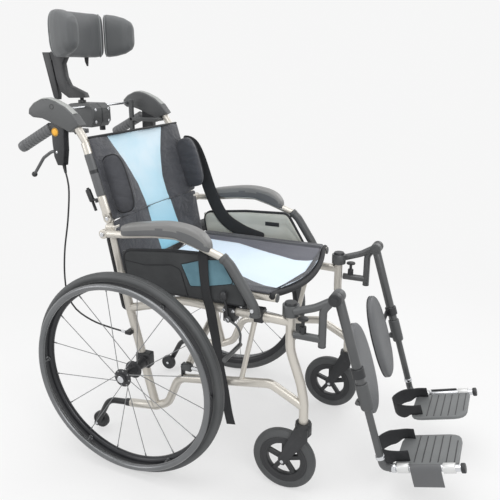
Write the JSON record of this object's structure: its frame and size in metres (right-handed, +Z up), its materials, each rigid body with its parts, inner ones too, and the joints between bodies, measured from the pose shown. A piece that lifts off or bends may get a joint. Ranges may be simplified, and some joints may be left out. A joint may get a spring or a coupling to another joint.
{
  "type": "wheelchair",
  "caption": "Folding wheelchair with swing-away elevating leg rests, flip-up armrests, a half-folding back, a padded headrest, attendant brakes and anti-tip wheels",
  "frame": {"origin": "middle of the bounding box, on the floor", "axes": "+Z up, the chair faces -Y, +X is the sitter's left"},
  "size_m": [0.744, 1.3816, 1.2826],
  "materials": {
    "frame_paint": "satin champagne silver paint",
    "dark_paint": "dark grey metallic paint",
    "steel": "bright plated steel",
    "alloy": "satin aluminium",
    "handrim": "grey anodised aluminium",
    "plastic": "black moulded plastic",
    "tyre": "dark grey tyre",
    "soft_rubber": "soft black rubber",
    "nylon": "black nylon",
    "leather": "charcoal leatherette",
    "webbing": "black webbing",
    "orange": "orange plastic"
  },
  "bodies": {
    "left_tip_tube": {"anti_tip_tube_left": "frame_paint"},
    "right_tip_tube": {"anti_tip_tube_right": "frame_paint"},
    "left_tip_wheel": {"anti_tip_wheel_left": "plastic"},
    "right_tip_wheel": {"anti_tip_wheel_right": "plastic"},
    "left_arm": {"arm_pad_left": "soft_rubber", "arm_tube_left": "frame_paint"},
    "right_arm": {"arm_pad_right": "soft_rubber", "arm_tube_right": "frame_paint"},
    "right_frame": {"back_lower": "nylon", "belt_right": "webbing", "brake_cable_right": "plastic", "seat_cushion": "nylon", "side_frame_right": "frame_paint", "side_panel_right": "nylon"},
    "right_back": {"back_upper": "nylon", "cane_right": "plastic", "grip_right": "soft_rubber"},
    "left_frame": {"belt_left": "webbing", "brake_cable_left": "plastic", "side_frame_left": "frame_paint", "side_panel_left": "nylon"},
    "left_lever": {"brake_lever_left": "steel"},
    "right_lever": {"brake_lever_right": "steel"},
    "left_calf": {"calf_pad_left": "leather"},
    "right_calf": {"calf_pad_right": "leather"},
    "left_back": {"cane_left": "plastic", "grip_left": "soft_rubber"},
    "left_fork": {"caster_fork_left": "plastic"},
    "right_fork": {"caster_fork_right": "plastic"},
    "left_caster": {"caster_wheel_left": "plastic"},
    "right_caster": {"caster_wheel_right": "plastic"},
    "left_cross": {"cross_arm_left": "frame_paint"},
    "right_cross": {"cross_arm_right": "frame_paint"},
    "left_foot": {"foot_tube_left": "steel"},
    "right_foot": {"foot_tube_right": "steel"},
    "left_plate": {"footplate_left": "plastic", "heel_strap_left": "webbing"},
    "right_plate": {"footplate_right": "plastic", "heel_strap_right": "webbing"},
    "left_button": {"handle_button_left": "orange"},
    "right_button": {"handle_button_right": "orange"},
    "left_wheel": {"handrim_left": "handrim", "tyre_left": "tyre", "wheel_left": "alloy"},
    "right_wheel": {"handrim_right": "handrim", "tyre_right": "tyre", "wheel_right": "alloy"},
    "left_hanger": {"hanger_left": "dark_paint"},
    "right_hanger": {"hanger_right": "dark_paint"},
    "left_sleeve": {"hanger_sleeve_left": "plastic"},
    "right_sleeve": {"hanger_sleeve_right": "plastic"},
    "headrest": {"headrest_pad": "leather"},
    "stem": {"headrest_stem": "alloy"},
    "left_leg": {"leg_tube_left": "dark_paint"},
    "right_leg": {"leg_tube_right": "dark_paint"},
    "left_parking": {"parking_brake_left": "steel"},
    "right_parking": {"parking_brake_right": "steel"},
    "left_release": {"release_lever_left": "plastic"},
    "right_release": {"release_lever_right": "plastic"},
    "stabiliser": {"stabiliser_bar": "plastic"}
  },
  "joints": [
    {"name": "frame_fold", "type": "slide", "parent": "right_frame", "child": "left_frame", "axis": [-1, 0, 0], "range_m": [0, 0.28], "deforming": ["seat_cushion", "back_upper", "back_lower", "belt_left"]},
    {"name": "back_fold_right", "type": "hinge", "parent": "right_frame", "child": "right_back", "pos_m": [-0.226, 0.30881, 0.716], "axis": [-1, 0, 0], "range_deg": [0, 90], "deforming": ["brake_cable_right"]},
    {"name": "cross_turn_right", "type": "hinge", "parent": "right_frame", "child": "right_cross", "pos_m": [-0.226, 0.07281, 0.302], "axis": [0, -1, 0], "range_deg": [0, 48.23]},
    {"name": "cross_turn_left", "type": "hinge", "parent": "left_frame", "child": "left_cross", "pos_m": [0.226, 0.03281, 0.302], "axis": [0, 1, 0], "range_deg": [0, 48.23]},
    {"name": "leg_rest_splay_left", "type": "hinge", "parent": "left_frame", "child": "left_sleeve", "pos_m": [0.226, -0.23419, 0.514], "axis": [0, 0, 1], "range_deg": [0, 38.12]},
    {"name": "hanger_swing_left", "type": "hinge", "parent": "left_sleeve", "child": "left_hanger", "pos_m": [0.226, -0.23419, 0.549], "axis": [0, 0, 1], "range_deg": [0, 90]},
    {"name": "leg_rest_lift_left", "type": "hinge", "parent": "left_hanger", "child": "left_leg", "pos_m": [0.2145, -0.35219, 0.583], "axis": [-1, 0, 0], "range_deg": [0, 70]},
    {"name": "foot_height_left", "type": "slide", "parent": "left_leg", "child": "left_foot", "axis": [0, -0.2924, -0.9563], "range_m": [-0.05, 0]},
    {"name": "footplate_flip_left", "type": "hinge", "parent": "left_foot", "child": "left_plate", "pos_m": [0.195, -0.51752, 0.1243], "axis": [0, 0.9563, -0.2924], "range_deg": [0, 90], "deforming": ["heel_strap_left"]},
    {"name": "calf_pad_swing_left", "type": "hinge", "parent": "left_leg", "child": "left_calf", "pos_m": [0.2145, -0.41212, 0.38696], "axis": [0, -0.2924, -0.9563], "range_deg": [0, 60]},
    {"name": "back_fold_left", "type": "hinge", "parent": "left_frame", "child": "left_back", "pos_m": [0.226, 0.30881, 0.716], "axis": [-1, 0, 0], "range_deg": [0, 90], "deforming": ["brake_cable_left"]},
    {"name": "hand_brake_left", "type": "hinge", "parent": "left_back", "child": "left_lever", "pos_m": [0.226, 0.4648, 0.89221], "axis": [1, 0, 0], "range_deg": [0, 20], "stiffness_Nm_per_rad": 1},
    {"name": "handle_button_press_left", "type": "slide", "parent": "left_back", "child": "left_button", "axis": [-1, 0, 0], "range_m": [0, 0.003], "stiffness_N_per_m": 300},
    {"name": "back_release_left", "type": "hinge", "parent": "left_back", "child": "left_release", "pos_m": [0.226, 0.34429, 0.76393], "axis": [1, 0, 0], "range_deg": [0, 20], "stiffness_Nm_per_rad": 0.6},
    {"name": "wheel_spin_left", "type": "hinge", "parent": "left_frame", "child": "left_wheel", "pos_m": [0.33, 0.20847, 0.3], "axis": [1, 0, 0], "continuous": true},
    {"name": "caster_swivel_left", "type": "hinge", "parent": "left_frame", "child": "left_fork", "pos_m": [0.226, -0.27619, 0.2153], "axis": [0, 0, 1], "continuous": true},
    {"name": "caster_spin_left", "type": "hinge", "parent": "left_fork", "child": "left_caster", "pos_m": [0.226, -0.22419, 0.09], "axis": [1, 0, 0], "continuous": true},
    {"name": "anti_tip_turn_left", "type": "hinge", "parent": "left_frame", "child": "left_tip_tube", "pos_m": [0.226, 0.27481, 0.138], "axis": [0, 0.9914, -0.1307], "range_deg": [0, 180]},
    {"name": "anti_tip_spin_left", "type": "hinge", "parent": "left_tip_tube", "child": "left_tip_wheel", "pos_m": [0.208, 0.40681, 0.036], "axis": [1, 0, 0], "continuous": true},
    {"name": "armrest_lift_left", "type": "hinge", "parent": "left_frame", "child": "left_arm", "pos_m": [0.262, 0.3009, 0.681], "axis": [-1, 0, 0], "range_deg": [0, 90]},
    {"name": "parking_brake_left", "type": "hinge", "parent": "left_frame", "child": "left_parking", "pos_m": [0.2462, -0.06719, 0.485], "axis": [1, 0, 0], "range_deg": [0, 15]},
    {"name": "leg_rest_splay_right", "type": "hinge", "parent": "right_frame", "child": "right_sleeve", "pos_m": [-0.226, -0.23419, 0.514], "axis": [0, 0, -1], "range_deg": [0, 38.12]},
    {"name": "hanger_swing_right", "type": "hinge", "parent": "right_sleeve", "child": "right_hanger", "pos_m": [-0.226, -0.23419, 0.549], "axis": [0, 0, -1], "range_deg": [0, 90]},
    {"name": "leg_rest_lift_right", "type": "hinge", "parent": "right_hanger", "child": "right_leg", "pos_m": [-0.2145, -0.35219, 0.583], "axis": [-1, 0, 0], "range_deg": [0, 70]},
    {"name": "foot_height_right", "type": "slide", "parent": "right_leg", "child": "right_foot", "axis": [0, -0.2924, -0.9563], "range_m": [-0.05, 0]},
    {"name": "footplate_flip_right", "type": "hinge", "parent": "right_foot", "child": "right_plate", "pos_m": [-0.195, -0.51752, 0.1243], "axis": [0, -0.9563, 0.2924], "range_deg": [0, 90], "deforming": ["heel_strap_right"]},
    {"name": "calf_pad_swing_right", "type": "hinge", "parent": "right_leg", "child": "right_calf", "pos_m": [-0.2145, -0.41212, 0.38696], "axis": [0, 0.2924, 0.9563], "range_deg": [0, 60]},
    {"name": "hand_brake_right", "type": "hinge", "parent": "right_back", "child": "right_lever", "pos_m": [-0.226, 0.4648, 0.89221], "axis": [1, 0, 0], "range_deg": [0, 20], "stiffness_Nm_per_rad": 1},
    {"name": "handle_button_press_right", "type": "slide", "parent": "right_back", "child": "right_button", "axis": [1, 0, 0], "range_m": [0, 0.003], "stiffness_N_per_m": 300},
    {"name": "back_release_right", "type": "hinge", "parent": "right_back", "child": "right_release", "pos_m": [-0.226, 0.34429, 0.76393], "axis": [1, 0, 0], "range_deg": [0, 20], "stiffness_Nm_per_rad": 0.6},
    {"name": "wheel_spin_right", "type": "hinge", "parent": "right_frame", "child": "right_wheel", "pos_m": [-0.33, 0.20847, 0.3], "axis": [1, 0, 0], "continuous": true},
    {"name": "caster_swivel_right", "type": "hinge", "parent": "right_frame", "child": "right_fork", "pos_m": [-0.226, -0.27619, 0.2153], "axis": [0, 0, 1], "continuous": true},
    {"name": "caster_spin_right", "type": "hinge", "parent": "right_fork", "child": "right_caster", "pos_m": [-0.226, -0.22419, 0.09], "axis": [1, 0, 0], "continuous": true},
    {"name": "anti_tip_turn_right", "type": "hinge", "parent": "right_frame", "child": "right_tip_tube", "pos_m": [-0.226, 0.27481, 0.138], "axis": [0, -0.9914, 0.1307], "range_deg": [0, 180]},
    {"name": "anti_tip_spin_right", "type": "hinge", "parent": "right_tip_tube", "child": "right_tip_wheel", "pos_m": [-0.208, 0.40681, 0.036], "axis": [1, 0, 0], "continuous": true},
    {"name": "armrest_lift_right", "type": "hinge", "parent": "right_frame", "child": "right_arm", "pos_m": [-0.262, 0.3009, 0.681], "axis": [-1, 0, 0], "range_deg": [0, 90]},
    {"name": "parking_brake_right", "type": "hinge", "parent": "right_frame", "child": "right_parking", "pos_m": [-0.2462, -0.06719, 0.485], "axis": [1, 0, 0], "range_deg": [0, 15]},
    {"name": "stabiliser_swing", "type": "hinge", "parent": "right_back", "child": "stabiliser", "pos_m": [-0.183, 0.50881, 1.003], "axis": [0, -1, 0], "range_deg": [0, 97]},
    {"name": "headrest_height", "type": "slide", "parent": "stabiliser", "child": "stem", "axis": [0, 0, 1], "range_m": [0, 0.06]},
    {"name": "headrest_tilt", "type": "hinge", "parent": "stem", "child": "headrest", "pos_m": [0, 0.62081, 1.158], "axis": [1, 0, 0], "range_deg": [-12, 12]}
  ],
  "couplings": [
    {"joint": "cross_turn_right", "follows": "frame_fold", "rad_per_m": 3},
    {"joint": "cross_turn_left", "follows": "frame_fold", "rad_per_m": 3},
    {"joint": "leg_rest_splay_left", "follows": "frame_fold", "rad_per_m": 2.37},
    {"joint": "leg_rest_splay_right", "follows": "frame_fold", "rad_per_m": 2.37},
    {"joint": "back_fold_left", "follows": "back_fold_right", "ratio": 1},
    {"joint": "stabiliser_swing", "follows": "frame_fold", "rad_per_m": 6}
  ]
}
